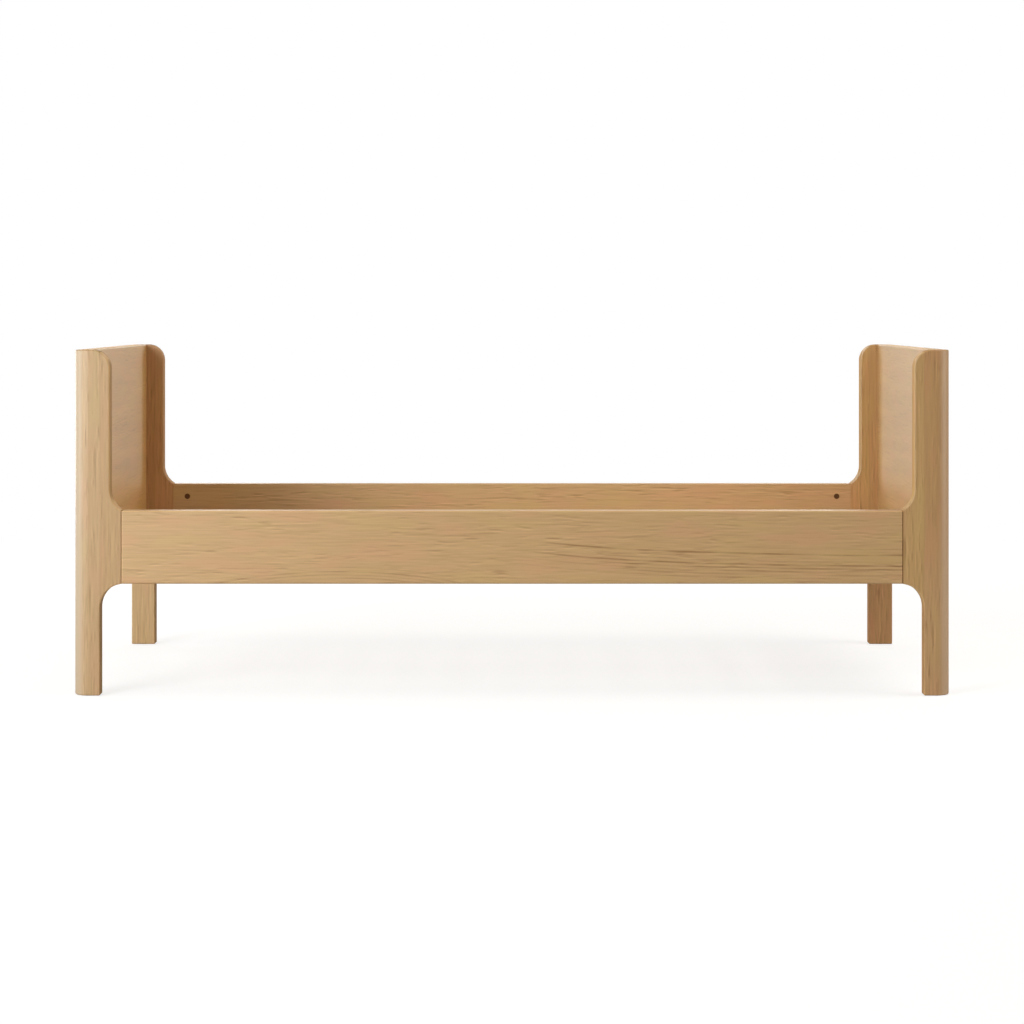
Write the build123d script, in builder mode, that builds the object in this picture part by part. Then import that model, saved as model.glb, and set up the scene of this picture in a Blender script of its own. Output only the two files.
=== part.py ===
from build123d import *
import os

os.makedirs("parts", exist_ok=True)

# ---------------------------------------------------------------------------
# Driving dimensions, millimetres.
# +X along the bed towards the foot end, +Y from the front rail to the back rail,
# +Z up. Origin: floor level under the centre of the bed.
# ---------------------------------------------------------------------------
length = 2090.0            # outside, end face to end face
depth = 990.0              # outside, front rail to back rail
height = 824.0             # floor to the top of the ends
wood = 40.0                # thickness of end panels, posts and wing boards

corner_r = 36.0            # upright outer corner, seen from above
edge_r = 3.0               # rounding of the long edges
post_w = 64.0              # width of a leg and of the post above it
wing_w = 87.0              # outer end face to the wing's free edge
seam_x = 114.0             # outer end face to the joint with the side rail
wing_top_r = 43.0          # rounded top corner of a wing
cove_r = 57.0              # cove from the wing down to the rail
cove_lip = 0.8             # the cove meets the joint this far above the rail
arch_r = 57.0              # arch from the leg to the underside

rail_t = 40.0              # rail thickness, the same as the wings
rail_bottom = 267.0
rail_top = 441.0
rail_edge_r = 4.0          # edges of the outer face
rail_inner_r = 1.0         # edges of the inner face
rail_corner_r = 3.0        # top end corners of a rail

glide_r = 12.0
glide_proud = 1.0          # glide stands out of the leg
glide_let_in = 3.0

cam_r = 7.5
cam_depth = 20.0
cam_from_end = 39.0        # cam axis to the end of the rail
cam_inset = 34.0           # cam axis below the rail's top and above its bottom
bolt_axis_in = 15.0        # bolt axis behind the rail's inner face
insert_r = 5.0
insert_len = 13.0
bolt_r = 3.0
dowel_r = 5.0
rail_dowel_in = 20.0       # rail dowel: depth in each piece
rail_dowel_z = (335.0, 375.0)
panel_dowel_post = 20.0    # panel dowel: depth in the post
panel_dowel_panel = 30.0   # and in the panel
panel_dowel_z = (300.0, 420.0, 540.0, 660.0, 780.0)
fit = 0.1                  # radial room round dowels, inserts and cams

ledge_top = 345.0
ledge_h = 25.0
ledge_w = 35.0
ledge_gap = 2.0            # ledge stops this far short of the posts
cleat_w = 40.0
cleat_len = 700.0
screw_r = 2.0
screw_head_r = 4.0
screw_head_h = 2.3
ledge_screw_len = 50.0
cleat_screw_len = 60.0

slat_count = 16
slat_w = 70.0
slat_t = 18.0
slat_len = 900.0
slat_first = 97.0          # outer end face to the middle of the first slat
tape_w = 25.0
tape_t = 1.2
tape_y = 280.0
staple_leg = 8.0

half_l = length / 2
half_d = depth / 2
slat_z = ledge_top         # underside of the slats
# middle of the cove's arc: the joint cuts the arc off before its lowest point
cove_u = wing_w + cove_r
cove_z = rail_top + cove_lip + (cove_r ** 2 - (cove_u - seam_x) ** 2) ** 0.5


def from_end(side, u):
    """X of a place u millimetres in from the end face; side -1 head, +1 foot."""
    return side * (half_l - u)


# ---------------------------------------------------------------------------
# One whole end as glued up and routed: panel, two posts, two wings. It runs
# past the rail joint by a short stub, so that every rounded edge is cut
# square at the joint. The pieces are then sawn out of it.
# ---------------------------------------------------------------------------
stub = 40.0
x_out = from_end(-1, 0)


def at(u):
    return from_end(-1, u)


with BuildPart() as whole_end:
    for wing_side in (-1, 1):
        # side view of a post with its wing, drawn on the wing's inner face
        y_inner = wing_side * (half_d - wood)
        with BuildSketch(Plane((0, y_inner, 0), x_dir=(1, 0, 0), z_dir=(0, -1, 0))):
            with BuildLine():
                Line((at(0), glide_proud), (at(post_w), glide_proud))
                Line((at(post_w), glide_proud), (at(post_w), rail_bottom - arch_r))
                CenterArc((at(post_w + arch_r), rail_bottom - arch_r), arch_r, 180, -90)
                Line((at(post_w + arch_r), rail_bottom), (at(seam_x + stub), rail_bottom))
                Line((at(seam_x + stub), rail_bottom), (at(seam_x + stub), cove_z - cove_r))
                Line((at(seam_x + stub), cove_z - cove_r), (at(cove_u), cove_z - cove_r))
                CenterArc((at(cove_u), cove_z), cove_r, 270, -90)
                Line((at(wing_w), cove_z), (at(wing_w), height - wing_top_r))
                CenterArc((at(wing_w - wing_top_r), height - wing_top_r), wing_top_r, 0, 90)
                Line((at(wing_w - wing_top_r), height), (at(0), height))
                Line((at(0), height), (at(0), glide_proud))
            make_face()
        extrude(amount=-wing_side * wood)
    # end panel with an arch at each leg, drawn on the outer end face
    y_leg = half_d - wood
    with BuildSketch(Plane.YZ.offset(x_out)):
        with BuildLine():
            CenterArc((-(y_leg - arch_r), rail_bottom - arch_r), arch_r, 180, -90)
            Line((-(y_leg - arch_r), rail_bottom), (y_leg - arch_r, rail_bottom))
            CenterArc((y_leg - arch_r, rail_bottom - arch_r), arch_r, 90, -90)
            Line((y_leg, rail_bottom - arch_r), (y_leg, height))
            Line((y_leg, height), (-y_leg, height))
            Line((-y_leg, height), (-y_leg, rail_bottom - arch_r))
        make_face()
    extrude(amount=wood)

    # upright outer corners
    uprights = [
        e for e in whole_end.edges().filter_by(Axis.Z)
        if abs(e.center().X - x_out) < 0.1 and abs(abs(e.center().Y) - half_d) < 0.1
    ]
    fillet(uprights, radius=corner_r)

    # long edges
    def rounded(e):
        c = e.center()
        b = e.bounding_box()
        flat_x, flat_y, flat_z = b.size.X < 0.01, b.size.Y < 0.01, b.size.Z < 0.01
        if c.X > at(seam_x + stub) - 1.0 and flat_x:
            return False                                   # sawn end of the stub
        if flat_z and abs(c.Z - height) < 0.01:            # round the top face
            return not (flat_x and abs(c.X - at(wing_w - wing_top_r)) < 0.1)
        if flat_z and abs(c.Z - glide_proud) < 0.01:       # round the foot of the leg
            return True
        if flat_x and flat_y:                              # upright lines
            if abs(c.X - at(post_w)) < 0.1 or abs(c.X - at(wing_w)) < 0.1:
                return True
            return abs(c.X - x_out) < 0.1 and c.Z < rail_bottom - arch_r and abs(c.Y) < half_d - wood + 1
        if flat_y and (abs(abs(c.Y) - half_d) < 0.01 or abs(abs(c.Y) - (half_d - wood)) < 0.01):
            # arches, coves and straight runs of the two wing faces
            return c.X > at(wood) + 0.1 and not (flat_x)
        if flat_x and abs(c.X - x_out) < 0.01 and c.Z < rail_bottom + 0.1:
            return True                                    # lower edge of the outer face
        return False

    fillet([e for e in whole_end.edges() if rounded(e)], radius=edge_r)

seam = at(seam_x)


def glide_seat(x, y):
    return Plane((x, y, glide_proud), x_dir=(1, 0, 0), z_dir=(0, 0, -1))


# --- head end -----------------------------------------------------------------
# end panel between the posts, with dowel holes in both edges
with BuildPart() as head_end_panel:
    add(whole_end.part)
    with Locations((x_out + wood / 2, 0, height / 2)):
        Box(wood + 2, 2 * (half_d - wood), height + 10, mode=Mode.INTERSECT)
    for side in (-1, 1):
        for z in panel_dowel_z:
            with Locations(Plane((x_out + wood / 2, side * (half_d - wood), z), x_dir=(1, 0, 0), z_dir=(0, side, 0))):
                Hole(radius=dowel_r + fit, depth=panel_dowel_panel + 0.5)
    # pilot holes for the cleat screws
    for y in (-300.0, -100.0, 100.0, 300.0):
        with Locations(Plane((x_out + wood, y, ledge_top - ledge_h / 2), x_dir=(0, 1, 0), z_dir=(1, 0, 0))):
            Hole(radius=screw_r + 0.05, depth=cleat_screw_len - cleat_w + 0.5)
head_end_panel.part.label = "head_end_panel"


def sawn_post(side):
    """Post and leg on the front (-1) or back (+1) of the head end."""
    with BuildPart() as post:
        add(whole_end.part)
        with Locations((x_out + post_w / 2 - 5, side * (half_d - wood / 2 + 5), height / 2)):
            Box(post_w + 10, wood + 10, height + 10, mode=Mode.INTERSECT)
        for z in panel_dowel_z:
            with Locations(Plane((x_out + wood / 2, side * (half_d - wood), z), x_dir=(1, 0, 0), z_dir=(0, -side, 0))):
                Hole(radius=dowel_r + fit, depth=panel_dowel_post + 0.5)
        with Locations(glide_seat(x_out + post_w / 2 + 2, side * (half_d - wood / 2))):
            Hole(radius=glide_r + fit, depth=glide_let_in)
            Hole(radius=1.25, depth=16.5)
    return post


def sawn_wing(side):
    """Wing board beside the post, down to the arch over the leg."""
    with BuildPart() as wing:
        add(whole_end.part)
        with Locations((x_out + (post_w + seam_x) / 2, side * (half_d - wood / 2), height / 2)):
            Box(seam_x - post_w, wood + 10, height + 10, mode=Mode.INTERSECT)
        y_bolt = side * (half_d - rail_t + bolt_axis_in)
        for z in (rail_bottom + cam_inset, rail_top - cam_inset):
            with Locations(Plane((seam, y_bolt, z), x_dir=(0, 1, 0), z_dir=(1, 0, 0))):
                Hole(radius=insert_r + fit, depth=insert_len + 0.5)
        for z in rail_dowel_z:
            with Locations(Plane((seam, y_bolt, z), x_dir=(0, 1, 0), z_dir=(1, 0, 0))):
                Hole(radius=dowel_r + fit, depth=rail_dowel_in + 0.5)
    return wing


corner_post_head_front = sawn_post(-1)
corner_post_head_front.part.label = "corner_post_head_front"
corner_post_head_back = sawn_post(1)
corner_post_head_back.part.label = "corner_post_head_back"
wing_board_head_front = sawn_wing(-1)
wing_board_head_front.part.label = "wing_board_head_front"
wing_board_head_back = sawn_wing(1)
wing_board_head_back.part.label = "wing_board_head_back"

# --- foot end: the head end's mirror image -------------------------------------
with BuildPart() as foot_end_panel:
    mirror(head_end_panel.part, about=Plane.YZ)
foot_end_panel.part.label = "foot_end_panel"
with BuildPart() as corner_post_foot_front:
    mirror(corner_post_head_front.part, about=Plane.YZ)
corner_post_foot_front.part.label = "corner_post_foot_front"
with BuildPart() as corner_post_foot_back:
    mirror(corner_post_head_back.part, about=Plane.YZ)
corner_post_foot_back.part.label = "corner_post_foot_back"
with BuildPart() as wing_board_foot_front:
    mirror(wing_board_head_front.part, about=Plane.YZ)
wing_board_foot_front.part.label = "wing_board_foot_front"
with BuildPart() as wing_board_foot_back:
    mirror(wing_board_head_back.part, about=Plane.YZ)
wing_board_foot_back.part.label = "wing_board_foot_back"

# ---------------------------------------------------------------------------
# Side rails: flush with the wings outside and inside
# ---------------------------------------------------------------------------
rail_len = length - 2 * seam_x
cam_z = (rail_bottom + cam_inset, rail_top - cam_inset)
ledge_screw_x = (-840.0, -560.0, -280.0, 0.0, 280.0, 560.0, 840.0)


def side_rail(side):
    y_mid = side * (half_d - rail_t / 2)
    y_in = side * (half_d - rail_t)
    y_bolt = side * (half_d - rail_t + bolt_axis_in)
    with BuildPart() as rail:
        with Locations((0, y_mid, (rail_bottom + rail_top) / 2)):
            Box(rail_len, rail_t, rail_top - rail_bottom)
        top_corners = rail.edges().filter_by(Axis.Y).group_by(Axis.Z)[-1]
        fillet(top_corners, radius=rail_corner_r)
        outline = [e for e in rail.edges() if e.bounding_box().size.Y < 0.01]
        fillet([e for e in outline if abs(e.center().Y) > abs(y_mid)], radius=rail_edge_r)
        outline = [e for e in rail.edges() if abs(e.bounding_box().min.Y - y_in) < 0.01 and abs(e.bounding_box().max.Y - y_in) < 0.01]
        fillet(outline, radius=rail_inner_r)
        for end in (-1, 1):
            for z in cam_z:
                # pocket of the cam lock, open to the inside of the bed
                with Locations(Plane((end * (rail_len / 2 - cam_from_end), y_in, z), x_dir=(1, 0, 0), z_dir=(0, -side, 0))):
                    Hole(radius=cam_r + fit, depth=cam_depth)
                # way in for the bolt from the end of the rail
                with Locations(Plane((end * rail_len / 2, y_bolt, z), x_dir=(0, 1, 0), z_dir=(end, 0, 0))):
                    Hole(radius=4.0, depth=cam_from_end)
            for z in rail_dowel_z:
                with Locations(Plane((end * rail_len / 2, y_bolt, z), x_dir=(0, 1, 0), z_dir=(end, 0, 0))):
                    Hole(radius=dowel_r + fit, depth=rail_dowel_in + 0.5)
        for x in ledge_screw_x:
            with Locations(Plane((x, y_in, ledge_top - ledge_h / 2), x_dir=(1, 0, 0), z_dir=(0, -side, 0))):
                Hole(radius=screw_r + 0.05, depth=ledge_screw_len - ledge_w + 0.5)
    return rail


side_rail_front = side_rail(-1)
side_rail_front.part.label = "side_rail_front"
side_rail_back = side_rail(1)
side_rail_back.part.label = "side_rail_back"

# ---------------------------------------------------------------------------
# Ledges and cleats that carry the slatted base
# ---------------------------------------------------------------------------


def slat_ledge(side):
    y_face = side * (half_d - rail_t - ledge_w)
    with BuildPart() as ledge:
        with Locations((0, side * (half_d - rail_t - ledge_w / 2), ledge_top - ledge_h / 2)):
            Box(rail_len - 2 * ledge_gap, ledge_w, ledge_h)
        free_edges = [
            e for e in ledge.edges().filter_by(Axis.X)
            if abs(e.center().Y - y_face) < 0.1
        ]
        fillet(free_edges, radius=2.5)
        for x in ledge_screw_x:
            with Locations(Plane((x, y_face, ledge_top - ledge_h / 2), x_dir=(1, 0, 0), z_dir=(0, -side, 0))):
                Hole(radius=screw_r + 0.1, depth=ledge_w)
                Cone(screw_r + 0.1, screw_head_r + 0.15, screw_head_h + 0.1,
                     align=(Align.CENTER, Align.CENTER, Align.MAX), mode=Mode.SUBTRACT)
    return ledge


slat_ledge_front = slat_ledge(-1)
slat_ledge_front.part.label = "slat_ledge_front"
slat_ledge_back = slat_ledge(1)
slat_ledge_back.part.label = "slat_ledge_back"

cleat_screw_y = (-300.0, -100.0, 100.0, 300.0)
x_cleat_face = x_out + wood + cleat_w
with BuildPart() as end_cleat_head:
    with Locations((x_out + wood + cleat_w / 2, 0, ledge_top - ledge_h / 2)):
        Box(cleat_w, cleat_len, ledge_h)
    fillet([e for e in end_cleat_head.edges().filter_by(Axis.Y) if e.center().X > x_cleat_face - 0.1], radius=2.5)
    for y in cleat_screw_y:
        with Locations(Plane((x_cleat_face, y, ledge_top - ledge_h / 2), x_dir=(0, 1, 0), z_dir=(1, 0, 0))):
            Hole(radius=screw_r + 0.1, depth=cleat_w)
            Cone(screw_r + 0.1, screw_head_r + 0.15, screw_head_h + 0.1,
                 align=(Align.CENTER, Align.CENTER, Align.MAX), mode=Mode.SUBTRACT)
end_cleat_head.part.label = "end_cleat_head"
with BuildPart() as end_cleat_foot:
    mirror(end_cleat_head.part, about=Plane.YZ)
end_cleat_foot.part.label = "end_cleat_foot"

# countersunk wood screws: head, shank and point, with a cross recess
ledge_screw_places = [
    Plane((x, side * (half_d - rail_t - ledge_w), ledge_top - ledge_h / 2), x_dir=(1, 0, 0), z_dir=(0, -side, 0))
    for side in (-1, 1) for x in ledge_screw_x
]
with BuildPart() as ledge_screws:
    with Locations(*ledge_screw_places):
        Cone(screw_r, screw_head_r, screw_head_h, align=(Align.CENTER, Align.CENTER, Align.MAX))
    with Locations(*[p.offset(-screw_head_h) for p in ledge_screw_places]):
        Cylinder(screw_r, ledge_screw_len - screw_head_h - 4, align=(Align.CENTER, Align.CENTER, Align.MAX))
    with Locations(*[p.offset(-ledge_screw_len + 4) for p in ledge_screw_places]):
        Cone(0.3, screw_r, 4, align=(Align.CENTER, Align.CENTER, Align.MAX))
    with Locations(*ledge_screw_places):
        Box(4.2, 0.9, 1.3, align=(Align.CENTER, Align.CENTER, Align.MAX), mode=Mode.SUBTRACT)
        Box(0.9, 4.2, 1.3, align=(Align.CENTER, Align.CENTER, Align.MAX), mode=Mode.SUBTRACT)
ledge_screws.part.label = "ledge_screws"

cleat_screw_places = [
    Plane((end * x_cleat_face * -1, y, ledge_top - ledge_h / 2), x_dir=(0, 1, 0), z_dir=(-end, 0, 0))
    for end in (-1, 1) for y in cleat_screw_y
]
with BuildPart() as cleat_screws:
    with Locations(*cleat_screw_places):
        Cone(screw_r, screw_head_r, screw_head_h, align=(Align.CENTER, Align.CENTER, Align.MAX))
    with Locations(*[p.offset(-screw_head_h) for p in cleat_screw_places]):
        Cylinder(screw_r, cleat_screw_len - screw_head_h - 4, align=(Align.CENTER, Align.CENTER, Align.MAX))
    with Locations(*[p.offset(-cleat_screw_len + 4) for p in cleat_screw_places]):
        Cone(0.3, screw_r, 4, align=(Align.CENTER, Align.CENTER, Align.MAX))
    with Locations(*cleat_screw_places):
        Box(4.2, 0.9, 1.3, align=(Align.CENTER, Align.CENTER, Align.MAX), mode=Mode.SUBTRACT)
        Box(0.9, 4.2, 1.3, align=(Align.CENTER, Align.CENTER, Align.MAX), mode=Mode.SUBTRACT)
cleat_screws.part.label = "cleat_screws"

# ---------------------------------------------------------------------------
# Rail joints: cam lock in the rail, bolt in a threaded insert in the wing board
# ---------------------------------------------------------------------------
rail_ends = [(end, side, z) for end in (-1, 1) for side in (-1, 1) for z in cam_z]

cam_places = [
    Plane((end * (rail_len / 2 - cam_from_end), side * (half_d - rail_t), z), x_dir=(end, 0, 0), z_dir=(0, -side, 0))
    for end, side, z in rail_ends
]
with BuildPart() as cam_locks:
    with Locations(*[p.offset(-0.3) for p in cam_places]):
        Cylinder(cam_r, cam_depth - 0.5, align=(Align.CENTER, Align.CENTER, Align.MAX))
        # screwdriver cross and the arrow dimple beside it
        Box(8.4, 1.5, 2.4, align=(Align.CENTER, Align.CENTER, Align.MAX), mode=Mode.SUBTRACT)
        Box(1.5, 8.4, 2.4, align=(Align.CENTER, Align.CENTER, Align.MAX), mode=Mode.SUBTRACT)
    with Locations(*[p.offset(-bolt_axis_in) for p in cam_places]):
        # jaw that takes the bolt's head
        Box(cam_r + 5, 8.2, 8.2, align=(Align.MIN, Align.CENTER, Align.CENTER), mode=Mode.SUBTRACT)
        Cylinder(4.1, 8.2, mode=Mode.SUBTRACT)
cam_locks.part.label = "cam_locks"

bolt_places = [
    Plane((end * rail_len / 2, side * (half_d - rail_t + bolt_axis_in), z), x_dir=(0, 1, 0), z_dir=(-end, 0, 0))
    for end, side, z in rail_ends
]
with BuildPart() as cam_bolts:
    with Locations(*[p.offset(-insert_len + 0.5) for p in bolt_places]):
        Cylinder(bolt_r, insert_len + 29.5, align=(Align.CENTER, Align.CENTER, Align.MIN))
    with Locations(*[p.offset(0.2) for p in bolt_places]):
        Cylinder(3.7, 2.0, align=(Align.CENTER, Align.CENTER, Align.MIN))
    with Locations(*[p.offset(30) for p in bolt_places]):
        Cylinder(2.0, 6.0, align=(Align.CENTER, Align.CENTER, Align.MIN))
    with Locations(*[p.offset(36) for p in bolt_places]):
        Cone(3.4, 2.4, 3.4, align=(Align.CENTER, Align.CENTER, Align.MIN))
cam_bolts.part.label = "cam_bolts"

with BuildPart() as threaded_inserts:
    with Locations(*bolt_places):
        Cylinder(insert_r, insert_len, align=(Align.CENTER, Align.CENTER, Align.MAX))
        Cylinder(bolt_r + 0.05, insert_len, align=(Align.CENTER, Align.CENTER, Align.MAX), mode=Mode.SUBTRACT)
threaded_inserts.part.label = "threaded_inserts"

with BuildPart() as rail_dowels:
    with Locations(*[
        Plane((end * rail_len / 2, side * (half_d - rail_t + bolt_axis_in), z), x_dir=(0, 1, 0), z_dir=(-end, 0, 0))
        for end in (-1, 1) for side in (-1, 1) for z in rail_dowel_z
    ]):
        Cylinder(dowel_r, 2 * rail_dowel_in)
    fillet(rail_dowels.edges(), radius=1.2)
rail_dowels.part.label = "rail_dowels"


def panel_dowels(end):
    with BuildPart() as dowels:
        middle = (panel_dowel_panel - panel_dowel_post) / 2
        with Locations(*[
            Plane((end * (half_l - wood / 2), side * (half_d - wood - middle), z), x_dir=(1, 0, 0), z_dir=(0, side, 0))
            for side in (-1, 1) for z in panel_dowel_z
        ]):
            Cylinder(dowel_r, panel_dowel_post + panel_dowel_panel)
        fillet(dowels.edges(), radius=1.2)
    return dowels


head_panel_dowels = panel_dowels(-1)
head_panel_dowels.part.label = "head_panel_dowels"
foot_panel_dowels = panel_dowels(1)
foot_panel_dowels.part.label = "foot_panel_dowels"

# ---------------------------------------------------------------------------
# Glides nailed into the legs, standing one millimetre proud
# ---------------------------------------------------------------------------
with BuildPart() as leg_glides:
    with Locations(*[
        Plane((end * (half_l - post_w / 2 - 2), side * (half_d - wood / 2), 0), x_dir=(1, 0, 0), z_dir=(0, 0, 1))
        for end in (-1, 1) for side in (-1, 1)
    ]):
        Cylinder(glide_r, glide_proud + glide_let_in, align=(Align.CENTER, Align.CENTER, Align.MIN))
        Cylinder(1.2, 16.5, align=(Align.CENTER, Align.CENTER, Align.MIN))
    fillet([e for e in leg_glides.edges() if e.center().Z < 0.1], radius=0.8)
leg_glides.part.label = "leg_glides"

# ---------------------------------------------------------------------------
# Slatted base: loose slats held at their pitch by two tapes stapled underneath
# ---------------------------------------------------------------------------
slat_pitch = (length - 2 * slat_first) / (slat_count - 1)
slat_x = [-half_l + slat_first + i * slat_pitch for i in range(slat_count)]

slats = []
for i, x in enumerate(slat_x):
    with BuildPart() as slat:
        with Locations((x, 0, slat_z + slat_t / 2)):
            Box(slat_w, slat_len, slat_t)
        fillet(slat.edges().filter_by(Axis.Y), radius=3.0)
    slat.part.label = "slat_%02d" % (i + 1)
    slats.append(slat)

tape_from = slat_x[0] - slat_w / 2 + 24
tape_to = slat_x[-1] + slat_w / 2 - 24


def slat_tape(y):
    with BuildPart() as tape:
        with Locations(((tape_from + tape_to) / 2, y, slat_z - tape_t / 2)):
            Box(tape_to - tape_from, tape_w, tape_t)
    return tape


slat_tape_front = slat_tape(-tape_y)
slat_tape_front.part.label = "slat_tape_front"
slat_tape_back = slat_tape(tape_y)
slat_tape_back.part.label = "slat_tape_back"

# two staples under every crossing, legs up into the slat
staple_places = [
    (x + dx, y, slat_z - tape_t)
    for x in slat_x for y in (-tape_y, tape_y)
    for dx in ((4.0, 20.0) if x < slat_x[0] + 1 else (-20.0, -4.0) if x > slat_x[-1] - 1 else (-16.0, 16.0))
]
with BuildPart() as tape_staples:
    with Locations(*staple_places):
        Box(1.2, 12.0, 0.6, align=(Align.CENTER, Align.CENTER, Align.MAX))
    with Locations(*[(px, py + s * 5.4, pz - 0.3) for px, py, pz in staple_places for s in (-1, 1)]):
        Box(1.2, 1.2, staple_leg, align=(Align.CENTER, Align.CENTER, Align.MIN))
tape_staples.part.label = "tape_staples"

# ---------------------------------------------------------------------------
# Files
# ---------------------------------------------------------------------------
pieces = [
    head_end_panel, foot_end_panel,
    corner_post_head_front, corner_post_head_back, corner_post_foot_front, corner_post_foot_back,
    wing_board_head_front, wing_board_head_back, wing_board_foot_front, wing_board_foot_back,
    side_rail_front, side_rail_back,
    slat_ledge_front, slat_ledge_back, end_cleat_head, end_cleat_foot,
    ledge_screws, cleat_screws,
    cam_locks, cam_bolts, threaded_inserts, rail_dowels, head_panel_dowels, foot_panel_dowels,
    leg_glides,
] + slats + [slat_tape_front, slat_tape_back, tape_staples]

for piece in pieces:
    export_step(piece.part, "parts/%s.step" % piece.part.label)
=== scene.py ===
import math
import random

import bmesh
import bpy
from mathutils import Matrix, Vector


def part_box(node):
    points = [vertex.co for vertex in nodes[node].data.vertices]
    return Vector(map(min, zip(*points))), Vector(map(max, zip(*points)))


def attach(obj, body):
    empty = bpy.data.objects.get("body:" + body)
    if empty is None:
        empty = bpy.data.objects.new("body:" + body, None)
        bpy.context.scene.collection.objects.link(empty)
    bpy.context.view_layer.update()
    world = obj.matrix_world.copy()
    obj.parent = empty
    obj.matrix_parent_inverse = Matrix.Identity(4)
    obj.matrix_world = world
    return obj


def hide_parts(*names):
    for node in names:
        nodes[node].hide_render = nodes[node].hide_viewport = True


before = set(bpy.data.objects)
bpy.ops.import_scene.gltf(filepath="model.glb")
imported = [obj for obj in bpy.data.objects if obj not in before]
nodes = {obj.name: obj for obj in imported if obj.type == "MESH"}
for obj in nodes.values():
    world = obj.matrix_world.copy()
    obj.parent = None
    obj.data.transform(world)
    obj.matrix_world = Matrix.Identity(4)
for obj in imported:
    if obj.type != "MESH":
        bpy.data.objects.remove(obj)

random.seed(7)
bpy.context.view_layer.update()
scene = bpy.context.scene


# ---------------------------------------------------------------------------
# Camera: level, square to the long side
# ---------------------------------------------------------------------------
cam_data = bpy.data.cameras.new("camera")
cam = bpy.data.objects.new("camera", cam_data)
scene.collection.objects.link(cam)
cam.location = (0.0, -0.495 - 6.154, 0.9203)
cam.rotation_euler = (math.radians(90), 0, 0)
cam_data.sensor_width = 36.0
cam_data.lens = 90.90
cam_data.shift_y = -0.1978
cam_data.clip_start = 0.1
cam_data.clip_end = 60.0
scene.camera = cam


# ---------------------------------------------------------------------------
# Light: soft boxes round a white room
# ---------------------------------------------------------------------------
def softbox(name, pos, target, width, height, power, colour=(1, 1, 1)):
    data = bpy.data.lights.new(name, "AREA")
    data.shape = "RECTANGLE"
    data.size, data.size_y = width, height
    data.energy = power
    data.color = colour
    ob = bpy.data.objects.new(name, data)
    scene.collection.objects.link(ob)
    ob.location = pos
    ob.rotation_euler = (Vector(target) - Vector(pos)).to_track_quat("-Z", "Y").to_euler()
    ob.visible_camera = False
    return ob


def round_the_bed(azimuth, distance, z):
    """A place seen from above: 0 is in front of the bed, -90 beyond the head end."""
    a = math.radians(azimuth)
    return (math.sin(a) * distance, -math.cos(a) * distance, z)


AIM = (0.0, 0.0, 0.45)
LOW = (0.0, 0.0, 0.5)
softbox("key", round_the_bed(-38, 5.6, 2.3), AIM, 2.2, 2.2, 131, (0.98, 1.0, 1.0))
softbox("key_side", round_the_bed(-58, 5.6, 2.3), AIM, 2.2, 2.2, 30, (0.98, 1.0, 1.0))
softbox("key_low", round_the_bed(-30, 5.6, 0.9), LOW, 2.4, 1.6, 37, (0.96, 1.0, 1.0))
softbox("side_left", round_the_bed(-80, 4.6, 0.95), LOW, 2.0, 1.7, 39, (0.98, 1.0, 1.0))
softbox("rim_left", round_the_bed(-130, 4.6, 0.95), LOW, 2.0, 1.7, 42)
softbox("rim_left_far", round_the_bed(-155, 4.6, 0.95), LOW, 2.0, 1.7, 19, (1.0, 0.98, 0.94))
softbox("side_right", round_the_bed(80, 4.6, 0.95), LOW, 2.0, 1.7, 22, (1.0, 0.98, 0.95))
softbox("rim_right_far", round_the_bed(155, 4.6, 0.95), LOW, 2.0, 1.7, 17, (1.0, 0.92, 0.83))
softbox("top_right", (2.6, -0.6, 3.4), AIM, 2.2, 2.2, 48, (1.0, 0.97, 0.93))
softbox("back", (0.0, 4.8, 2.4), AIM, 4.0, 2.2, 50, (1.0, 0.96, 0.92))

world = bpy.data.worlds.new("studio")
scene.world = world
world.use_nodes = True
wt = world.node_tree
for n in list(wt.nodes):
    wt.nodes.remove(n)
w_out = wt.nodes.new("ShaderNodeOutputWorld")
w_mix = wt.nodes.new("ShaderNodeMixShader")
w_path = wt.nodes.new("ShaderNodeLightPath")
w_seen = wt.nodes.new("ShaderNodeBackground")
w_amb = wt.nodes.new("ShaderNodeBackground")
w_amb.name = "ambient"
w_seen.inputs["Color"].default_value = (1, 1, 1, 1)
w_seen.inputs["Strength"].default_value = 1.0
w_amb.inputs["Color"].default_value = (1.0, 0.93, 0.84, 1)
w_amb.inputs["Strength"].default_value = 0.23
wt.links.new(w_path.outputs["Is Camera Ray"], w_mix.inputs[0])
wt.links.new(w_amb.outputs[0], w_mix.inputs[1])
wt.links.new(w_seen.outputs[0], w_mix.inputs[2])
wt.links.new(w_mix.outputs[0], w_out.inputs["Surface"])

scene.view_settings.view_transform = "Standard"
scene.view_settings.look = "None"
scene.view_settings.exposure = 0.0
scene.view_settings.gamma = 1.0


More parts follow.
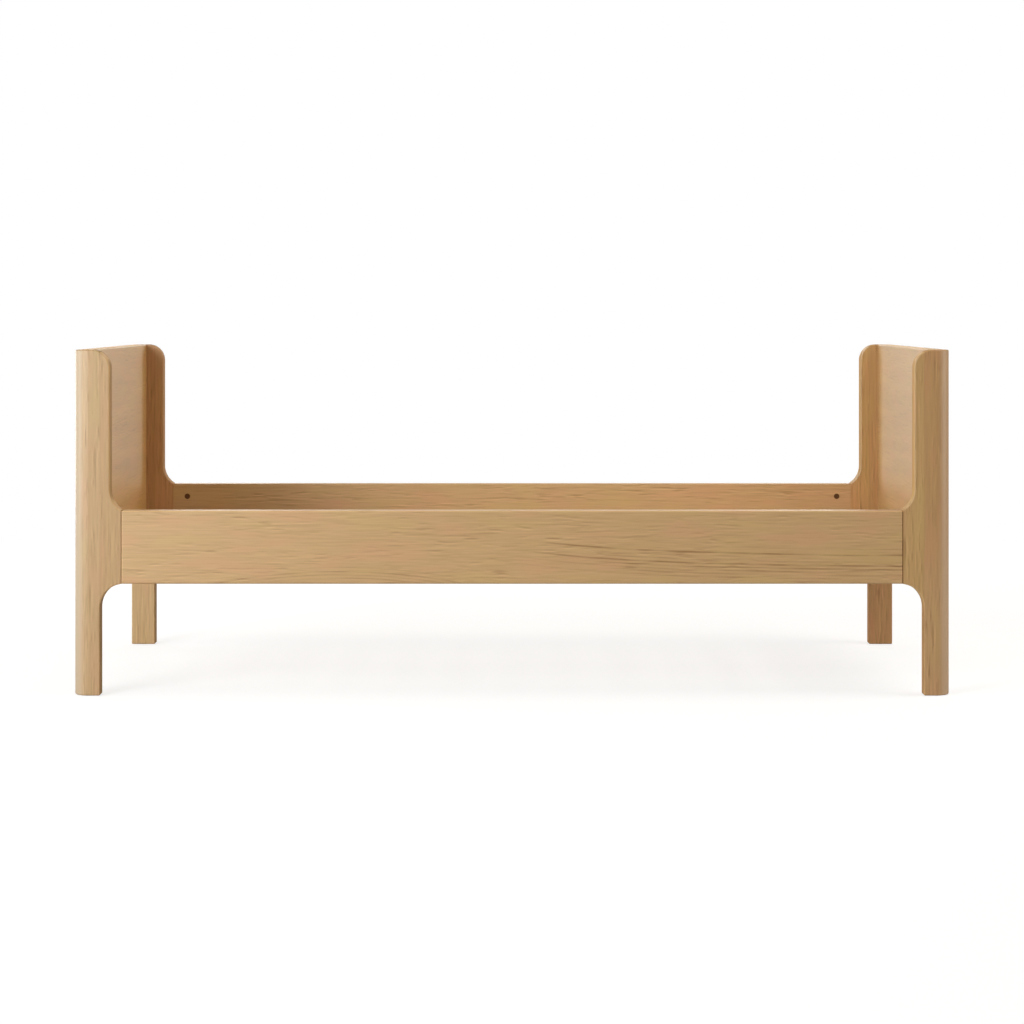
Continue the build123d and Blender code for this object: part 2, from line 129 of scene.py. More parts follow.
# ---------------------------------------------------------------------------
# A small helper for node trees
# ---------------------------------------------------------------------------
class Tree:
    def __init__(self, name):
        self.mat = bpy.data.materials.new(name)
        self.mat.use_nodes = True
        self.t = self.mat.node_tree
        for n in list(self.t.nodes):
            self.t.nodes.remove(n)
        self.out = self.t.nodes.new("ShaderNodeOutputMaterial")

    def put(self, socket, value):
        if isinstance(value, bpy.types.NodeSocket):
            self.t.links.new(value, socket)
        elif value is not None:
            socket.default_value = value

    def new(self, kind, **props):
        n = self.t.nodes.new(kind)
        for k, v in props.items():
            setattr(n, k, v)
        return n

    def math(self, op, a, b=None, c=None, clamp=False):
        n = self.new("ShaderNodeMath", operation=op, use_clamp=clamp)
        for i, v in enumerate((a, b, c)):
            if v is not None:
                self.put(n.inputs[i], v)
        return n.outputs[0]

    def vec(self, x, y, z):
        n = self.new("ShaderNodeCombineXYZ")
        for i, v in enumerate((x, y, z)):
            self.put(n.inputs[i], v)
        return n.outputs[0]

    def split(self, socket):
        n = self.new("ShaderNodeSeparateXYZ")
        self.put(n.inputs[0], socket)
        return list(n.outputs)

    def noise(self, vector, scale=1.0, detail=2.0, rough=0.5, distortion=0.0):
        n = self.new("ShaderNodeTexNoise", noise_dimensions="3D")
        self.put(n.inputs["Vector"], vector)
        n.inputs["Scale"].default_value = scale
        n.inputs["Detail"].default_value = detail
        n.inputs["Roughness"].default_value = rough
        n.inputs["Distortion"].default_value = distortion
        return n.outputs["Fac"]

    def ramp(self, value, a, b, low=0.0, high=1.0):
        """Smooth step of value from a to b."""
        n = self.new("ShaderNodeMapRange", interpolation_type="SMOOTHSTEP")
        self.put(n.inputs["Value"], value)
        n.inputs["From Min"].default_value = a
        n.inputs["From Max"].default_value = b
        n.inputs["To Min"].default_value = low
        n.inputs["To Max"].default_value = high
        return n.outputs["Result"]

    def mix(self, fac, a, b, mode="MIX"):
        n = self.new("ShaderNodeMix", data_type="RGBA", blend_type=mode)
        n.clamp_factor = True
        self.put(n.inputs[0], fac)
        self.put(n.inputs[6], a)
        self.put(n.inputs[7], b)
        return n.outputs[2]

    def surface(self, colour, rough, bump_height=None, bump_distance=0.0002, bump_strength=0.6, metallic=0.0, specular=0.5):
        p = self.new("ShaderNodeBsdfPrincipled")
        self.put(p.inputs["Base Color"], colour)
        self.put(p.inputs["Roughness"], rough)
        p.inputs["Metallic"].default_value = metallic
        p.inputs["Specular IOR Level"].default_value = specular
        if bump_height is not None:
            b = self.new("ShaderNodeBump")
            b.inputs["Distance"].default_value = bump_distance
            b.inputs["Strength"].default_value = bump_strength
            self.put(b.inputs["Height"], bump_height)
            self.t.links.new(b.outputs["Normal"], p.inputs["Normal"])
        self.t.links.new(p.outputs["BSDF"], self.out.inputs["Surface"])
        return p


AX = {"X": 0, "Y": 1, "Z": 2}
OAK_LIGHT = (0.728, 0.452, 0.194)
OAK_DARK = (0.350, 0.172, 0.0515)


def rgba(colour, tone=(1, 1, 1)):
    return (colour[0] * tone[0], colour[1] * tone[1], colour[2] * tone[2], 1)


# ---------------------------------------------------------------------------
# Wood
# ---------------------------------------------------------------------------
def wood(name, along, across, off, ring, tone=(1, 1, 1), light=OAK_LIGHT, dark=OAK_DARK, base=0.34, line=0.12,
         dash=0.44, fibre=0.50, cloud=0.13, cloud_size=0.10, patch=1.0, rough=0.42, lacquer=1.0, narrow=0.0,
         bump=0.55, figure=None, feature=None, corner_from=None, corner_sheen=(0.640, 0.452, 0.268), painted_upper_shade=None,
         painted_shade_z=(0.20, 0.50), shade_inner_only=False, rim=None):
    """Lacquered solid wood: growth rings round a pith line, fibres, and short dashes where pores are cut open.
    along and across name the grain's axes, ring is (pith across, pith in depth, gap, taper). figure and feature
    add their own marks to the tone, from 0 light to 1 dark."""
    t = Tree(name)
    tc = t.new("ShaderNodeTexCoord")
    pos = t.split(tc.outputs["Object"])
    depth_axis = ({"X", "Y", "Z"} - {along, across}).pop()
    u = t.math("ADD", pos[AX[along]], off[0])
    v = t.math("ADD", pos[AX[across]], off[1])
    w = t.math("ADD", pos[AX[depth_axis]], off[2])

    def stretched(lu, lv, lw, du=0.0, dv=0.0):
        """Coordinates in lengths of lu metres along the grain and lv, lw across it."""
        return t.vec(t.math("MULTIPLY_ADD", u, 1 / lu, du), t.math("MULTIPLY_ADD", v, 1 / lv, dv), t.math("MULTIPLY", w, 1 / lw))

    # growth rings, some stronger than others, that come and go along the board
    sway = t.noise(stretched(0.70, 0.30, 0.30, 3.1), detail=2.0)
    ripple = t.noise(stretched(0.16, 0.035, 0.035, 7.7), detail=2.0)
    pv, pw, gap, taper = ring
    v0 = t.math("SUBTRACT", pos[AX[across]], pv)
    w0 = t.math("SUBTRACT", pos[AX[depth_axis]], pw)
    v1 = t.math("ADD", v0, t.math("MULTIPLY_ADD", sway, 0.070, -0.035))
    v2 = t.math("ADD", v1, t.math("MULTIPLY_ADD", ripple, 0.014, -0.007))
    r = t.math("SQRT", t.math("ADD", t.math("MULTIPLY", v2, v2), t.math("MULTIPLY", w0, w0)))
    r2 = t.math("MULTIPLY_ADD", pos[AX[along]], taper, r)
    uneven = t.noise(t.vec(t.math("MULTIPLY", r2, 0.45 / gap), 0.0, off[0] * 3.0), detail=1.0)
    phase = t.math("ADD", t.math("MULTIPLY", r2, 1 / gap), t.math("MULTIPLY", uneven, 1.6))
    saw = t.math("FRACT", phase)
    which = t.new("ShaderNodeTexWhiteNoise", noise_dimensions="1D")
    t.put(which.inputs["W"], t.math("FLOOR", phase))
    own = t.ramp(which.outputs["Value"], 0.25, 0.95, 0.10, 1.0)
    early = t.math("MULTIPLY", t.math("POWER", t.math("SUBTRACT", 1.0, saw), 9.0), own)
    seen = t.ramp(t.noise(stretched(0.42, 0.050, 0.050, 1.3), detail=2.0), 0.46, 0.66)
    rings = t.math("MULTIPLY", early, seen)

    # fibres, dashes with a light lip beside them, hair-fine pores
    fib = t.noise(stretched(0.090, 0.0040, 0.0040), detail=2.0, rough=0.55)
    busy = t.ramp(t.noise(stretched(0.30, 0.045, 0.045, 4.2), detail=1.0), 0.34, 0.60, 0.25, 1.0)

    def dashes(length, width, du, a, b, shift):
        here = t.noise(stretched(length, width, width, du), detail=1.0)
        beside = t.noise(stretched(length, width, width, du, shift / width), detail=1.0)
        dk = t.ramp(here, a, b)
        lt = t.math("MULTIPLY", t.ramp(beside, a, b), t.math("SUBTRACT", 1.0, dk))
        return dk, lt

    d1, l1 = dashes(0.062, 0.0052, 5.0, 0.54, 0.77, 0.0040)
    d2, l2 = dashes(0.110, 0.0066, 15.0, 0.55, 0.77, -0.0046)
    dk = t.math("MULTIPLY", t.math("MAXIMUM", d1, t.math("MULTIPLY", d2, 0.75)), busy)
    lt = t.math("MULTIPLY", t.math("MAXIMUM", l1, t.math("MULTIPLY", l2, 0.75)), busy)
    fine = t.ramp(t.noise(stretched(0.009, 0.00055, 0.00055, 1.0), detail=1.0), 0.56, 0.72)
    clouds = t.noise(stretched(0.45, cloud_size, cloud_size, 2.0), detail=2.0)

    # end grain and rounded edges
    nrm = [t.math("ABSOLUTE", s) for s in t.split(tc.outputs["Normal"])]
    end = t.ramp(nrm[AX[along]], 0.75, 0.98)
    edge = t.ramp(t.math("SUBTRACT", 1.0, t.math("MAXIMUM", t.math("MAXIMUM", nrm[0], nrm[1]), nrm[2])), 0.015, 0.15)
    corner = None
    if corner_from is not None:
        # the large upright outer corner of a post is smooth, with a painted sheen: pale where it faces sideways
        out = t.ramp(t.math("ABSOLUTE", pos[0]), corner_from, corner_from + 0.004)
        edge = t.math("MULTIPLY", edge, t.math("SUBTRACT", 1.0, out))
        corner = t.math("MULTIPLY", out, t.ramp(nrm[0], 0.10, 0.80))
        calm = t.math("MULTIPLY_ADD", corner, -0.85, 1.0)
        dk, lt = t.math("MULTIPLY", dk, calm), t.math("MULTIPLY", lt, calm)

    tone_at = t.math("MULTIPLY_ADD", rings, line, base)
    tone_at = t.math("MULTIPLY_ADD", dk, dash, tone_at)
    tone_at = t.math("MULTIPLY_ADD", lt, -0.65 * dash, tone_at)
    tone_at = t.math("MULTIPLY_ADD", fine, 0.10 * dash, tone_at)
    tone_at = t.math("MULTIPLY_ADD", t.math("SUBTRACT", fib, 0.5), fibre, tone_at)
    tone_at = t.math("MULTIPLY_ADD", t.math("SUBTRACT", clouds, 0.5), cloud, tone_at)
    if figure is not None:
        tone_at = t.math("ADD", tone_at, figure(t, pos, nrm))
    if feature is not None:
        tone_at = t.math("ADD", tone_at, feature(t, pos, nrm))
    tone_at = t.math("MULTIPLY_ADD", edge, -0.10, tone_at)
    tone_at = t.math("MULTIPLY_ADD", end, 0.20, tone_at, clamp=True)
    colour = t.mix(tone_at, rgba(light, tone), rgba(dark, tone))
    # patches a little redder and a little yellower
    hue = t.noise(stretched(0.16, 0.040, 0.040, 11.0), detail=1.0)
    mean = [light[i] * 0.75 + dark[i] * 0.25 for i in range(3)]
    red = (mean[0] * 1.04, mean[1] * 0.90, mean[2] * 0.98)
    yellow = (mean[0] * 0.96, mean[1] * 1.04, mean[2] * 0.86)
    colour = t.mix(t.ramp(hue, 0.52, 0.70, 0.0, 0.45 * patch), colour, rgba(red, tone))
    colour = t.mix(t.ramp(hue, 0.48, 0.30, 0.0, 0.40 * patch), colour, rgba(yellow, tone))
    # painted sheen: the outer corner of a post turns towards a pale colour where it faces sideways
    if corner is not None:
        colour = t.mix(t.math("MULTIPLY", corner, 0.85), colour, rgba(corner_sheen, tone))
    # painted shade: above the first height the colour is multiplied darker, so the lower part of the board reads
    # lighter; with the inner-only flag on the inner face only
    if painted_upper_shade is not None:
        high = t.ramp(pos[2], painted_shade_z[0], painted_shade_z[1])
        if shade_inner_only:
            high = t.math("MULTIPLY", high, t.ramp(t.math("ABSOLUTE", pos[1]), 0.490, 0.470))
        colour = t.mix(high, colour, t.mix(1.0, colour, rgba(painted_upper_shade), "MULTIPLY"))
    # painted sheen: rounded edges turn towards a paler colour, as if catching the light
    if rim is not None:
        colour = t.mix(t.math("MULTIPLY", edge, rim[3]), colour, rgba(rim))

    rg = t.math("MULTIPLY_ADD", dk, 0.22 * bump, rough)
    rg = t.math("MULTIPLY_ADD", t.math("SUBTRACT", fib, 0.5), 0.25 * bump, rg)
    rg = t.math("MULTIPLY_ADD", edge, 0.10, rg)
    rg = t.math("MULTIPLY_ADD", end, 0.12, rg)
    height = t.math("MULTIPLY_ADD", dk, -1.0, t.math("MULTIPLY", fib, 0.20))
    height = t.math("MULTIPLY_ADD", lt, 0.25, height)
    height = t.math("MULTIPLY_ADD", fine, -0.30, height)
    height = t.math("MULTIPLY_ADD", rings, -0.30, height)
    p = t.surface(colour, rg, height, 0.00022, bump)
    # the broad faces carry the lacquer, little is left on narrow faces and sanded edges
    broad = t.ramp(nrm[AX[depth_axis]], 0.55, 0.92, narrow, 1.0)
    if corner is not None:
        broad = t.math("MAXIMUM", broad, t.math("MULTIPLY", corner, 0.45))
    t.put(p.inputs["Coat Weight"], t.math("MULTIPLY", broad, lacquer))
    t.put(p.inputs["Specular IOR Level"], t.math("MULTIPLY_ADD", broad, 0.45, 0.05))
    p.inputs["Coat Roughness"].default_value = 0.42
    return t.mat


def dress(node, material):
    mesh = nodes[node].data
    mesh.materials.clear()
    mesh.materials.append(material)


def lines(t, field, x, marks):
    """Thin dark lines where field passes a value. A mark is (value, half width, strength, from x, to x)."""
    total = None
    for i, (value, half, strength, x0, x1) in enumerate(marks):
        away = t.math("ABSOLUTE", t.math("SUBTRACT", field, value))
        core = t.ramp(away, half * 0.25, half, 1.25 * strength, 0.0)
        ends = t.math("MULTIPLY", t.ramp(x, x0, x0 + 0.12), t.ramp(x, x1 - 0.12, x1, 1.0, 0.0))
        broken = t.ramp(t.noise(t.vec(t.math("MULTIPLY", x, 9.0), 3.7 * i, 0.0), detail=2.0), 0.36, 0.60, 0.30, 1.0)
        one = t.math("MULTIPLY", t.math("MULTIPLY", core, ends), broken)
        total = one if total is None else t.math("ADD", total, one)
    return total


def front_rail_figure(t, pos, nrm):
    """Long lines that sink towards the foot end, and a low arch of lines near the head end."""
    x, z = pos[0], pos[2]
    wobble = t.noise(t.vec(t.math("MULTIPLY", x, 6.0), t.math("MULTIPLY", z, 14.0), 0.0), detail=2.0)
    xr = t.math("MAXIMUM", x, -0.10)
    rise = t.math("EXPONENT", t.math("MULTIPLY_ADD", xr, -1 / 0.30, 0.08 / 0.30))
    c = t.math("MULTIPLY_ADD", rise, 0.033, t.math("SUBTRACT", 0.425, z))
    c = t.math("MULTIPLY_ADD", wobble, 0.0046, t.math("SUBTRACT", c, 0.0023))
    right = lines(t, c, x, [
        (0.0922, 0.0028, 0.50, 0.02, 1.20), (0.1010, 0.0022, 0.16, 0.15, 0.80), (0.1095, 0.0024, 0.20, 0.05, 1.10),
        (0.1180, 0.0030, 0.46, 0.00, 1.20), (0.1262, 0.0026, 0.32, 0.10, 1.20), (0.1340, 0.0026, 0.26, 0.00, 0.95),
        (0.1412, 0.0024, 0.22, 0.20, 1.20), (0.1495, 0.0026, 0.20, -0.08, 0.90), (0.0780, 0.0020, 0.12, 0.45, 1.00),
    ])
    off = t.math("ADD", x, 0.41)
    h = t.math("MULTIPLY_ADD", t.math("MULTIPLY", off, off), 0.32, t.math("SUBTRACT", z, 0.296))
    h = t.math("MULTIPLY_ADD", wobble, 0.0040, t.math("SUBTRACT", h, 0.0020))
    left = lines(t, h, x, [
        (0.0000, 0.0026, 0.30, -0.78, -0.04), (-0.0075, 0.0022, 0.22, -0.70, -0.08), (-0.0150, 0.0024, 0.24, -0.66, -0.16),
        (0.0100, 0.0022, 0.14, -0.62, 0.05),
    ])
    return t.math("ADD", right, left)


JOINT_X = 0.931            # end of the rails
GLUE_X = 0.981             # glue line between a post and its wing board


def rail_joint_light_and_shade(t, pos, nrm):
    """On the outer face the rounded end of a rail has a painted highlight, and painted shade where it dips into the
    joint; the top rounding has a painted highlight too.
    """
    x, y = t.math("ABSOLUTE", pos[0]), t.math("ABSOLUTE", pos[1])
    near = t.math("MULTIPLY", t.ramp(x, 0.9262, 0.9282), t.ramp(y, 0.484, 0.487))
    joint_shade = t.math("MULTIPLY", t.ramp(nrm[0], 0.40, 0.80, 0.0, 0.75), near)
    lip_highlight = t.math("MULTIPLY", t.ramp(nrm[0], 0.03, 0.22, 0.0, -0.26), t.math("MULTIPLY", near, t.ramp(nrm[0], 0.30, 0.50, 1.0, 0.0)))
    # painted highlight: the top rounding of the rail is lighter
    top = t.math("MULTIPLY", t.ramp(nrm[2], 0.20, 0.55, 0.0, -0.26), t.ramp(pos[2], 0.41, 0.42))
    return t.math("ADD", t.math("ADD", joint_shade, lip_highlight), top)


def wing_joint_shade_and_glue(t, pos, nrm):
    x, y = t.math("ABSOLUTE", pos[0]), t.math("ABSOLUTE", pos[1])
    # painted shade: the wing is darker on its outer face where it meets the rail; the glue line beside it is the
    # board's own
    joint = t.math("MULTIPLY", t.ramp(x, 0.9328, 0.9313, 0.0, 0.40), t.ramp(y, 0.484, 0.487))
    return t.math("ADD", joint, glue_line(t, pos, nrm))


def glue_line(t, pos, nrm):
    x = t.math("ABSOLUTE", pos[0])
    return t.ramp(t.math("ABSOLUTE", t.math("SUBTRACT", x, GLUE_X)), 0.0004, 0.0013, 0.16, 0.0)



# every board has a tone of its own
TONE = {
    "side_rail_front": (1.061, 1.098, 1.18), "side_rail_back": (1.118, 1.17, 1.299),
    "corner_post_head_front": (0.919, 0.966, 1.044), "corner_post_foot_front": (0.994, 0.977, 1.017),
    "corner_post_head_back": (0.998, 1.06, 1.102), "corner_post_foot_back": (1.073, 0.939, 0.903),
    "wing_board_head_front": (0.891, 0.899, 0.91), "wing_board_foot_front": (1.015, 1.025, 0.968),
    "wing_board_head_back": (1.059, 0.988, 1.064), "wing_board_foot_back": (1.072, 1.026, 0.978),
    "head_end_panel": (1.341, 1.336, 1.118), "foot_end_panel": (1.084, 1.105, 1.012),
}
# rails: grain along the bed
dress("side_rail_front", wood("oak_rail_front", "X", "Z", (0.0, 0.0, 0.0), (0.215, -0.44, 0.017, 0.020), line=0.10,
                              dash=0.36, narrow=0.22, tone=TONE["side_rail_front"], figure=front_rail_figure, feature=rail_joint_light_and_shade))
dress("side_rail_back", wood("oak_rail_back", "X", "Z", (4.0, 1.0, 0.0), (0.50, 0.44, 0.020, -0.012), line=0.14,
                             narrow=0.10, tone=TONE["side_rail_back"], feature=rail_joint_light_and_shade))
# posts and wing boards: grain upright
# painted shade: how much darker the upper part of each board is than its lower part
PAINTED_UPPER_SHADE = {"corner_post_head_back": (0.90, 0.76, 0.70), "corner_post_foot_back": (0.86, 0.95, 0.90),
         "corner_post_foot_front": (0.94, 0.90, 0.83),
         "wing_board_head_back": (0.90, 0.877, 0.833), "wing_board_foot_back": (0.862, 0.893, 0.833)}
# painted sheen: the pale colour of the outer corner of each front post
PAINTED_CORNER_SHEEN = {"corner_post_head_front": (0.60, 0.447, 0.292), "corner_post_foot_front": (0.755, 0.524, 0.303)}
POSTS = ["corner_post_head_front", "corner_post_head_back", "corner_post_foot_front", "corner_post_foot_back"]
for i, node in enumerate(POSTS):
    b0, b1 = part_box(node)
    mid = (b0 + b1) / 2
    dress(node, wood("oak_" + node, "Z", "X", (1.7 * i, 0.9 * i, 0.3),
                     (mid.x + (0.05, -0.07, 0.02, 0.06)[i], mid.y + 0.05, 0.010, 0.012), tone=TONE[node], line=0.26,
                     feature=glue_line, corner_from=1.006, corner_sheen=PAINTED_CORNER_SHEEN.get(node, (0.640, 0.452, 0.268)), painted_upper_shade=PAINTED_UPPER_SHADE.get(node),
                     shade_inner_only=node.endswith("back")))
# painted sheen: rounded edges made paler than the board, as if catching the light: colour and amount
PAINTED_EDGE_SHEEN = {"wing_board_head_front": (0.90, 0.57, 0.27, 0.60), "wing_board_foot_front": (0.65, 0.43, 0.22, 0.50),
       "wing_board_foot_back": (0.80, 0.62, 0.42, 0.50)}
WINGS = ["wing_board_head_front", "wing_board_head_back", "wing_board_foot_front", "wing_board_foot_back"]
for i, node in enumerate(WINGS):
    b0, b1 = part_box(node)
    mid = (b0 + b1) / 2
    dress(node, wood("oak_" + node, "Z", "X", (5.3 + 2.1 * i, 0.4 * i, 0.1),
                     (mid.x + (-0.06, 0.05, 0.07, -0.04)[i], mid.y - 0.06, 0.011, -0.010), tone=TONE[node], line=0.22,
                     feature=wing_joint_shade_and_glue, painted_upper_shade=PAINTED_UPPER_SHADE.get(node), painted_shade_z=(0.42, 0.50), shade_inner_only=True,
                     rim=PAINTED_EDGE_SHEEN.get(node)))
# end panels: grain across the bed
dress("head_end_panel", wood("oak_panel_head", "Y", "Z", (9.0, 0.2, 0.0), (0.52, -1.10, 0.026, 0.015), line=0.16, dash=0.22, fibre=0.30,
                             cloud=0.70, cloud_size=0.035, bump=0.04,
                             tone=TONE["head_end_panel"]))
dress("foot_end_panel", wood("oak_panel_foot", "Y", "Z", (13.0, 0.7, 0.0), (0.60, 1.10, 0.028, -0.013), line=0.16, dash=0.22, fibre=0.30,
                             cloud=0.70, cloud_size=0.035, bump=0.04,
                             tone=TONE["foot_end_panel"]))

PINE = dict(light=(0.80, 0.62, 0.38), dark=(0.55, 0.33, 0.14), dash=0.08, fibre=0.20, rough=0.58, patch=0.5, lacquer=0.0)
BIRCH = dict(light=(0.83, 0.69, 0.49), dark=(0.60, 0.42, 0.23), dash=0.10, fibre=0.20, rough=0.60, patch=0.4, lacquer=0.0)
for n, side in (("slat_ledge_front", -1), ("slat_ledge_back", 1)):
    dress(n, wood("pine_" + n, "X", "Z", (21.0 + side, 0.0, 0.0), (0.28, side * 0.40, 0.006, 0.004), line=0.40, **PINE))
for n, side in (("end_cleat_head", -1), ("end_cleat_foot", 1)):
    dress(n, wood("pine_" + n, "Y", "Z", (25.0 + side, 0.0, 0.0), (0.30, side * 0.98, 0.006, 0.004), line=0.40, **PINE))
for i in range(16):
    n = "slat_%02d" % (i + 1)
    b0, b1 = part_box(n)
    mid = (b0 + b1) / 2
    dress(n, wood("birch_" + n, "Y", "X", (31.0 + 1.37 * i, 0.21 * i, 0.0),
                  (mid.x + random.uniform(-0.05, 0.05), mid.z - random.uniform(0.03, 0.12), 0.008, random.uniform(-0.02, 0.02)),
                  line=0.34, base=0.18 + random.uniform(-0.06, 0.08), **BIRCH))
beech = wood("beech_dowel", "X", "Z", (51.0, 0, 0), (0.3, 0.4, 0.004, 0.0), light=(0.72, 0.50, 0.30), dark=(0.5, 0.3, 0.15),
             rough=0.6, lacquer=0.0)
for n in ("rail_dowels", "head_panel_dowels", "foot_panel_dowels"):
    dress(n, beech)


# ---------------------------------------------------------------------------
# Metal and nylon
# ---------------------------------------------------------------------------
def metal(name, colour, dark, rough, scale=900.0, metallic=1.0):
    t = Tree(name)
    tc = t.new("ShaderNodeTexCoord")
    n1 = t.noise(tc.outputs["Object"], scale, 3.0, 0.6)
    n2 = t.noise(tc.outputs["Object"], scale / 9, 2.0)
    col = t.mix(t.ramp(n2, 0.35, 0.70), colour, dark)
    rg = t.math("MULTIPLY_ADD", n1, 0.25, rough)
    t.surface(col, rg, n1, 0.00005, 0.4, metallic)
    return t.mat


dress("cam_locks", metal("cam_bronze", (0.19, 0.085, 0.028, 1), (0.13, 0.055, 0.016, 1), 0.50, metallic=0.2))
dress("cam_bolts", metal("bolt_steel", (0.62, 0.62, 0.63, 1), (0.50, 0.50, 0.50, 1), 0.25))
dress("threaded_inserts", metal("insert_brass", (0.78, 0.56, 0.24, 1), (0.62, 0.42, 0.16, 1), 0.30))
for n in ("ledge_screws", "cleat_screws"):
    dress(n, metal("zinc_" + n, (0.66, 0.63, 0.55, 1), (0.50, 0.46, 0.38, 1), 0.28))
dress("tape_staples", metal("staple_steel", (0.60, 0.60, 0.61, 1), (0.45, 0.45, 0.46, 1), 0.30))

glide = Tree("glide_nylon")
g_tc = glide.new("ShaderNodeTexCoord")
g_n = glide.noise(g_tc.outputs["Object"], 700.0, 3.0)
glide.surface(glide.mix(glide.ramp(g_n, 0.3, 0.7), (0.30, 0.22, 0.15, 1), (0.24, 0.17, 0.11, 1)),
              glide.math("MULTIPLY_ADD", g_n, 0.2, 0.42), g_n, 0.0001, 0.4)
dress("leg_glides", glide.mat)


# ---------------------------------------------------------------------------
# Webbing straps under the slats: herringbone cotton with a firm selvedge, a
# little slack between the slats
# ---------------------------------------------------------------------------
web = Tree("cotton_webbing")
wb_tc = web.new("ShaderNodeTexCoord")
wb = web.split(wb_tc.outputs["Object"])
wb_y = web.math("SUBTRACT", web.math("ABSOLUTE", wb[1]), 0.280)
wb_side = web.math("ABSOLUTE", wb_y)
slant = web.math("PINGPONG", web.math("MULTIPLY", wb_y, 1.0), 0.0031)
twill = web.math("SINE", web.math("MULTIPLY", web.math("ADD", wb[0], slant), 2 * math.pi / 0.0017))
picks = web.math("SINE", web.math("MULTIPLY", wb_y, 2 * math.pi / 0.0011))
weave = web.math("MULTIPLY_ADD", picks, 0.35, twill)
selvedge = web.ramp(wb_side, 0.0104, 0.0110)
weave = web.math("MULTIPLY", weave, web.math("MULTIPLY_ADD", selvedge, -0.6, 1.0))
lint = web.noise(wb_tc.outputs["Object"], 420.0, 3.0, 0.6)
soil = web.noise(wb_tc.outputs["Object"], 18.0, 2.0)
wb_col = web.mix(web.ramp(weave, -1.2, 1.2), (0.52, 0.47, 0.38, 1), (0.74, 0.70, 0.61, 1))
wb_col = web.mix(web.math("MULTIPLY", selvedge, 0.45), wb_col, (0.70, 0.66, 0.57, 1))
wb_col = web.mix(web.ramp(lint, 0.35, 0.70, 0.0, 0.22), wb_col, (0.82, 0.79, 0.72, 1))
wb_col = web.mix(web.ramp(soil, 0.45, 0.75, 0.0, 0.18), wb_col, (0.46, 0.40, 0.31, 1))
web_bsdf = web.surface(wb_col, web.math("MULTIPLY_ADD", lint, 0.14, 0.80), web.math("MULTIPLY_ADD", lint, 0.5, weave), 0.00022, 0.7,
                       specular=0.25)
web_bsdf.inputs["Sheen Weight"].default_value = 0.25
web_bsdf.inputs["Sheen Roughness"].default_value = 0.5

SLAT_X = [(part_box("slat_%02d" % (i + 1))[0].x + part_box("slat_%02d" % (i + 1))[1].x) / 2 for i in range(16)]
SLAT_HALF = (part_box("slat_01")[1].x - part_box("slat_01")[0].x) / 2


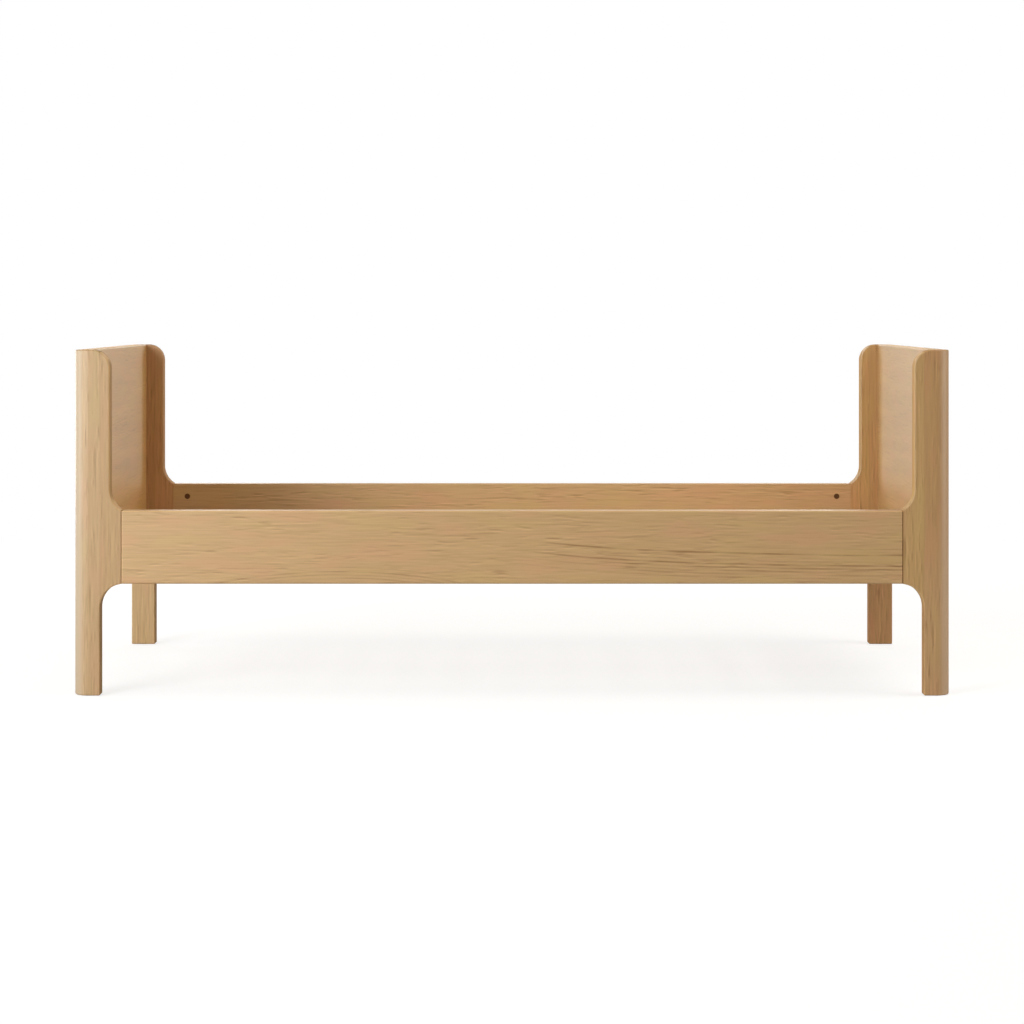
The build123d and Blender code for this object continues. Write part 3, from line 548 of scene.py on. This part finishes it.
def strap(name, node, seed):
    rnd = random.Random(seed)
    b0, b1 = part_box(node)
    y_mid = (b0.y + b1.y) / 2
    half = (b1.y - b0.y) / 2
    top, thick = b1.z, b1.z - b0.z
    # stations along the strap: x, drop, roll
    stations = []
    x = b0.x
    for i in range(15):
        a, b = SLAT_X[i] + SLAT_HALF, SLAT_X[i + 1] - SLAT_HALF
        while x < a - 1e-6:
            stations.append((x, 0.0, 0.0))
            x += 0.0115
        slack, lean = rnd.uniform(0.0016, 0.0034), rnd.uniform(-0.0007, 0.0007)
        steps = 14
        for k in range(steps + 1):
            f = k / steps
            s = math.sin(math.pi * f) ** 1.3 if 0 < f < 1 else 0.0
            stations.append((a + (b - a) * f, slack * s, lean * s))
        x = b + 0.0115
    while x < b1.x - 1e-6:
        stations.append((x, 0.0, 0.0))
        x += 0.0115
    stations.append((b1.x, 0.0, 0.0))
    # a section: flat with rounded selvedges
    section = []
    n = 10
    for k in range(n + 1):
        f = -1 + 2 * k / n
        rim = max(0.0, abs(f) - 0.90) / 0.10
        section.append((f * half, -thick * 0.32 * rim))
    for k in range(n, -1, -1):
        f = -1 + 2 * k / n
        rim = max(0.0, abs(f) - 0.90) / 0.10
        section.append((f * half, -thick + thick * 0.32 * rim))
    m = bmesh.new()
    rows = []
    for sx, drop, lean in stations:
        wander = 0.0003 * math.sin(sx * 31.0 + seed)
        rows.append([m.verts.new((sx, y_mid + wander + sy, top - drop + sz + lean * sy / half)) for sy, sz in section])
    k = len(section)
    for p, q in zip(rows, rows[1:]):
        for j in range(k):
            m.faces.new((p[j], q[j], q[(j + 1) % k], p[(j + 1) % k]))
    m.faces.new(list(reversed(rows[0])))
    m.faces.new(rows[-1])
    bmesh.ops.recalc_face_normals(m, faces=m.faces)
    for f in m.faces:
        f.smooth = len(f.verts) == 4
    me = bpy.data.meshes.new(name)
    m.to_mesh(me)
    m.free()
    ob = bpy.data.objects.new(name, me)
    scene.collection.objects.link(ob)
    me.materials.append(web.mat)
    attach(ob, "slat_base")
    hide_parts(node)
    return ob


for side, seed in (("front", 3), ("back", 8)):
    piece = strap("webbing_strap_" + side, "slat_tape_" + side, seed)


# ---------------------------------------------------------------------------
# Floor
# ---------------------------------------------------------------------------
bm = bmesh.new()
bmesh.ops.create_grid(bm, x_segments=8, y_segments=8, size=12.0)
floor_mesh = bpy.data.meshes.new("floor")
bm.to_mesh(floor_mesh)
bm.free()
floor = bpy.data.objects.new("floor", floor_mesh)
scene.collection.objects.link(floor)
fl = Tree("floor_white")
# seen as white paper; what it throws back on the bed is dimmer. Far away it turns plain white.
f_tc = fl.new("ShaderNodeTexCoord")
f_len = fl.new("ShaderNodeVectorMath", operation="LENGTH")
fl.put(f_len.inputs[0], f_tc.outputs["Object"])
f_far = fl.ramp(f_len.outputs["Value"], 1.9, 4.2)
f_path = fl.new("ShaderNodeLightPath")
f_dim = fl.new("ShaderNodeBsdfDiffuse")
f_dim.inputs["Color"].default_value = (0.50, 0.50, 0.50, 1)
f_paper = fl.new("ShaderNodeBsdfDiffuse")
f_paper.inputs["Color"].default_value = (0.42, 0.42, 0.42, 1)
f_glow = fl.new("ShaderNodeEmission")
f_glow.inputs["Strength"].default_value = 0.72
f_add = fl.new("ShaderNodeAddShader")
f_white = fl.new("ShaderNodeEmission")
f_near = fl.new("ShaderNodeMixShader")
f_all = fl.new("ShaderNodeMixShader")
fl.t.links.new(f_paper.outputs[0], f_add.inputs[0])
fl.t.links.new(f_glow.outputs[0], f_add.inputs[1])
fl.put(f_near.inputs[0], f_far)
fl.t.links.new(f_add.outputs[0], f_near.inputs[1])
fl.t.links.new(f_white.outputs[0], f_near.inputs[2])
fl.put(f_all.inputs[0], f_path.outputs["Is Camera Ray"])
fl.t.links.new(f_dim.outputs[0], f_all.inputs[1])
fl.t.links.new(f_near.outputs[0], f_all.inputs[2])
fl.t.links.new(f_all.outputs[0], fl.out.inputs["Surface"])
floor.data.materials.append(fl.mat)
